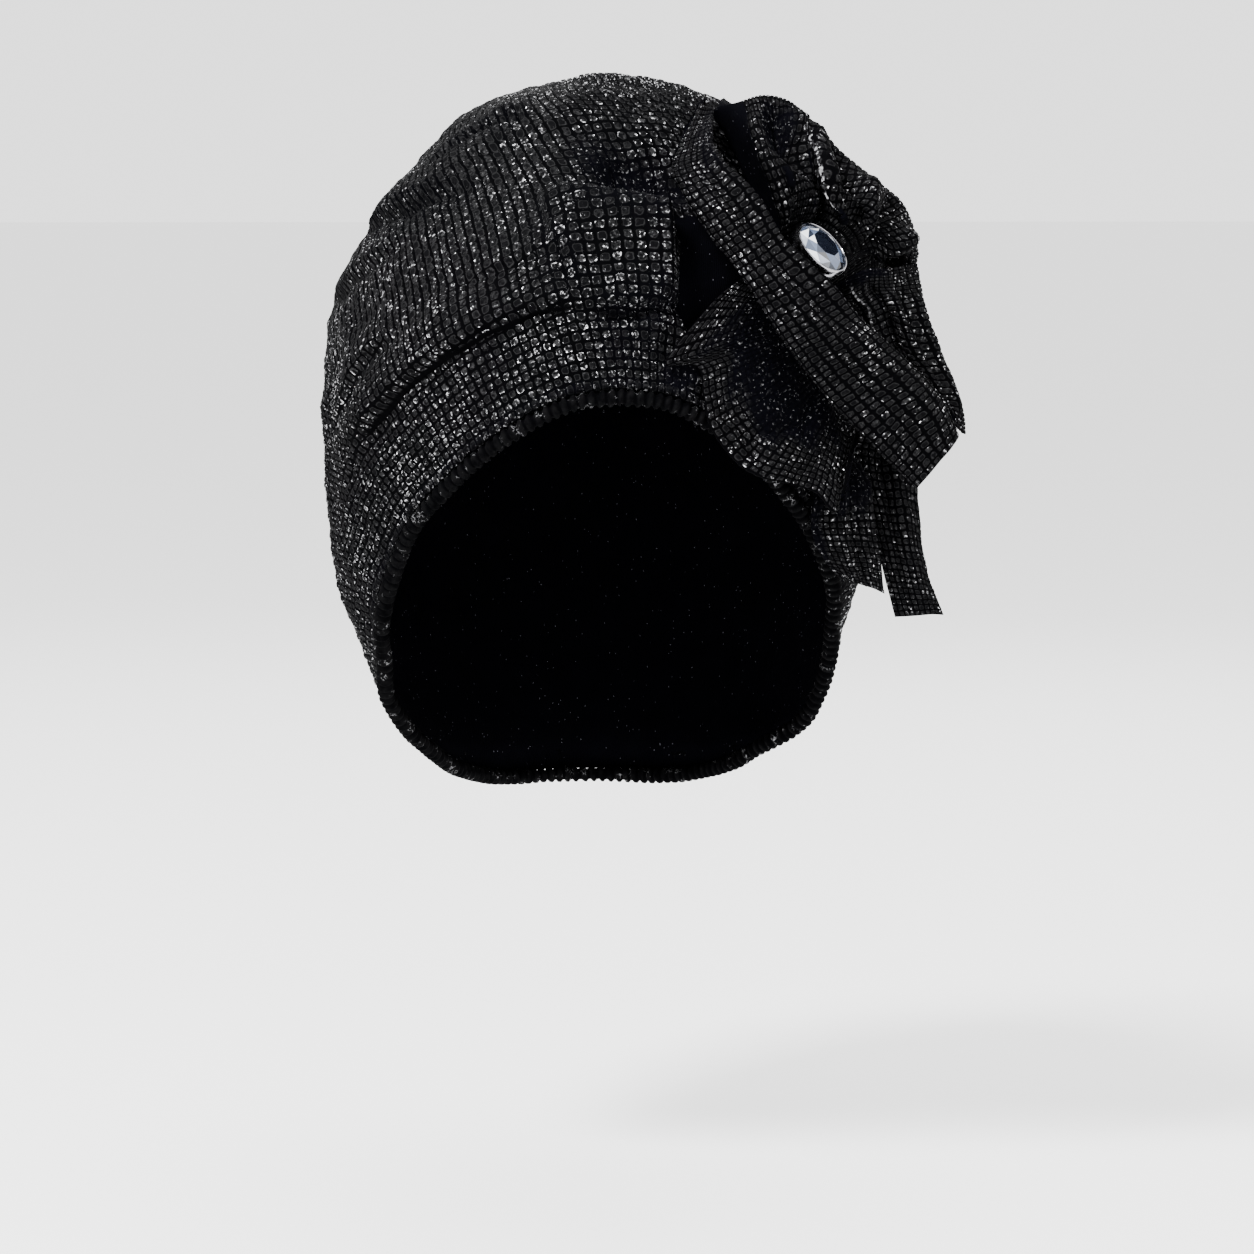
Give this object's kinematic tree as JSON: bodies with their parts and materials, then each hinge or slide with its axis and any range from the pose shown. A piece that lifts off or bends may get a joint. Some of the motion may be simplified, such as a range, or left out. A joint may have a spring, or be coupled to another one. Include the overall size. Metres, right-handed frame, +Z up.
{
  "type": "turban headwrap",
  "caption": "Fitted foil-check knit cap turban with a rolled hem, folded cloth rosette at one temple, rhinestone centre and two short hanging ends",
  "frame": {"origin": "the point inside the crown that rests on the top of the head", "axes": "+Z up, the wearer's face looks along -Y, and +X is the side of the rosette, which is the wearer's left temple"},
  "size_m": [0.2082, 0.216, 0.2427],
  "materials": {
    "waffle_knit": "black waffle-check knit with small silver foil specks on puffed cells, plain matte reverse",
    "rib_knit": "the same black knit, gathered into a ribbed rolled hem",
    "silver_metal": "polished silver-coloured bezel",
    "clear_stone": "clear faceted rhinestone"
  },
  "bodies": {
    "root": {"cap": "waffle_knit", "rim_roll": "rib_knit", "petal_front": "waffle_knit", "petal_top": "waffle_knit", "petal_upper_right": "waffle_knit", "petal_lower_right": "waffle_knit", "ruffle_lower": "waffle_knit", "tail_short": "waffle_knit", "tail_long": "waffle_knit", "flower_core": "waffle_knit", "stone_setting": "silver_metal", "stone": "clear_stone"}
  },
  "joints": []
}
